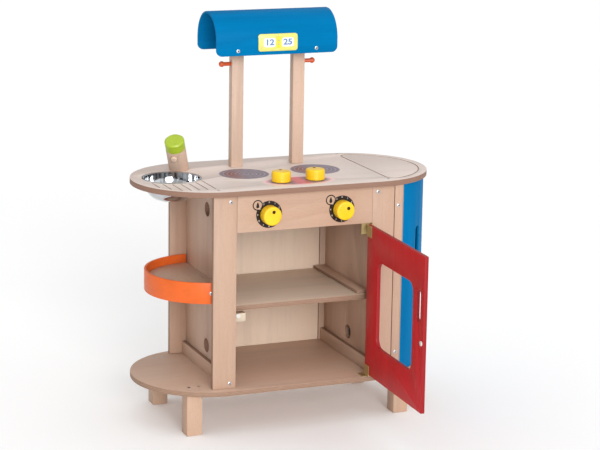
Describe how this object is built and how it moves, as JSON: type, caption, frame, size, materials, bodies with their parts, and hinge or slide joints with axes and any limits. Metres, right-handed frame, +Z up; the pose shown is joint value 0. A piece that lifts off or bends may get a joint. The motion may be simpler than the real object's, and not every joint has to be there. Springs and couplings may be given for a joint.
{
  "type": "toy kitchen",
  "caption": "Wooden toy kitchen: round-ended worktop with sink, tap, hob and knobs, oven cupboard with hinged door, curved fridge door, side shelf and canopy on posts.",
  "frame": {"origin": "on the floor, under the middle of the bounding box of the toy with its oven door standing open", "axes": "+X to the right along the worktop, +Y from the front to the back, +Z up"},
  "size_m": [0.7, 0.6502, 0.918],
  "materials": {
    "birch_board": "lacquered birch plywood, pale and warm",
    "birch_panel": "lacquered birch plywood",
    "worktop_board": "pale lacquered plywood with printed burners",
    "beech_post": "lacquered solid beech",
    "red_door": "red stained plywood, satin",
    "blue_plywood": "blue stained bent plywood, satin",
    "orange_plywood": "orange stained bent plywood, satin",
    "orange_peg": "orange lacquered turned wood",
    "green_cap": "green stained turned wood",
    "yellow_knob": "yellow lacquered turned wood",
    "clock_face": "printed panel",
    "brass_hinge": "brass plated steel",
    "steel_bowl": "polished stainless steel",
    "steel_spindle": "plain steel",
    "white_magnet": "white coated disc"
  },
  "bodies": {
    "cabinet": {"back_panel": "birch_panel", "base_cleat_left": "birch_board", "base_cleat_right": "birch_board", "base_plate": "birch_board", "canopy": "blue_plywood", "canopy_rib_left": "blue_plywood", "canopy_rib_right": "blue_plywood", "catch_block": "birch_board", "catch_magnet": "white_magnet", "clock_panel": "clock_face", "control_panel": "birch_panel", "fridge_hinge_lower_frame_leaf": "brass_hinge", "fridge_hinge_upper_frame_leaf": "brass_hinge", "leg_front_left": "beech_post", "leg_front_right": "beech_post", "leg_rear_left": "beech_post", "leg_rear_right": "beech_post", "middle_shelf": "birch_board", "oven_hinge_lower_frame_leaf": "brass_hinge", "oven_hinge_upper_frame_leaf": "brass_hinge", "peg_left": "orange_peg", "peg_right": "orange_peg", "post_left": "beech_post", "post_right": "beech_post", "shelf_cleat_right": "birch_board", "side_panel_left": "birch_panel", "side_panel_right": "birch_panel", "side_shelf": "birch_board", "side_shelf_cleat": "birch_board", "side_shelf_rail": "orange_plywood", "sink_bowl": "steel_bowl", "stile_front_left": "birch_panel", "stile_front_right": "birch_panel", "stile_rear_left": "birch_panel", "stile_rear_right": "birch_panel", "tap_column": "beech_post", "tap_spindle": "beech_post", "tap_spout": "beech_post", "worktop": "worktop_board"},
    "oven_door_leaf": {"oven_door": "red_door", "door_magnet": "white_magnet", "oven_hinge_upper_door_leaf": "brass_hinge", "oven_hinge_lower_door_leaf": "brass_hinge"},
    "fridge_door": {"fridge_door_shell": "blue_plywood", "fridge_door_front_batten": "birch_panel", "fridge_door_rear_batten": "birch_panel", "fridge_hinge_upper_door_leaf": "brass_hinge", "fridge_hinge_lower_door_leaf": "brass_hinge"},
    "oven_knob_left_turning": {"oven_knob_left": "yellow_knob", "oven_knob_spindle_left": "steel_spindle"},
    "oven_knob_right_turning": {"oven_knob_right": "yellow_knob", "oven_knob_spindle_right": "steel_spindle"},
    "hob_knob_left_turning": {"hob_knob_left": "yellow_knob", "hob_knob_spindle_left": "steel_spindle"},
    "hob_knob_right_turning": {"hob_knob_right": "yellow_knob", "hob_knob_spindle_right": "steel_spindle"},
    "tap_handle": {"tap_cap": "green_cap"}
  },
  "joints": [
    {"name": "oven_door_swing", "type": "hinge", "parent": "cabinet", "child": "oven_door_leaf", "pos_m": [0.161, -0.00487, 0.2835], "axis": [0, 0, 1], "range_deg": [-88, 30]},
    {"name": "fridge_door_swing", "type": "hinge", "parent": "cabinet", "child": "fridge_door", "pos_m": [0.2166, 0.31033, 0.326], "axis": [0, 0, 1], "range_deg": [0, 105]},
    {"name": "oven_knob_left_turn", "type": "hinge", "parent": "cabinet", "child": "oven_knob_left_turning", "pos_m": [-0.087, -0.00687, 0.497], "axis": [0, -1, 0], "continuous": true},
    {"name": "oven_knob_right_turn", "type": "hinge", "parent": "cabinet", "child": "oven_knob_right_turning", "pos_m": [0.087, -0.00687, 0.497], "axis": [0, -1, 0], "continuous": true},
    {"name": "hob_knob_left_turn", "type": "hinge", "parent": "cabinet", "child": "hob_knob_left_turning", "pos_m": [-0.039, 0.05013, 0.565], "axis": [0, 0, 1], "continuous": true},
    {"name": "hob_knob_right_turn", "type": "hinge", "parent": "cabinet", "child": "hob_knob_right_turning", "pos_m": [0.043, 0.05013, 0.565], "axis": [0, 0, 1], "continuous": true},
    {"name": "tap_handle_turn", "type": "hinge", "parent": "cabinet", "child": "tap_handle", "pos_m": [-0.23117, 0.21749, 0.6232], "axis": [-0.2861, -0.4341, 0.8542], "continuous": true}
  ]
}
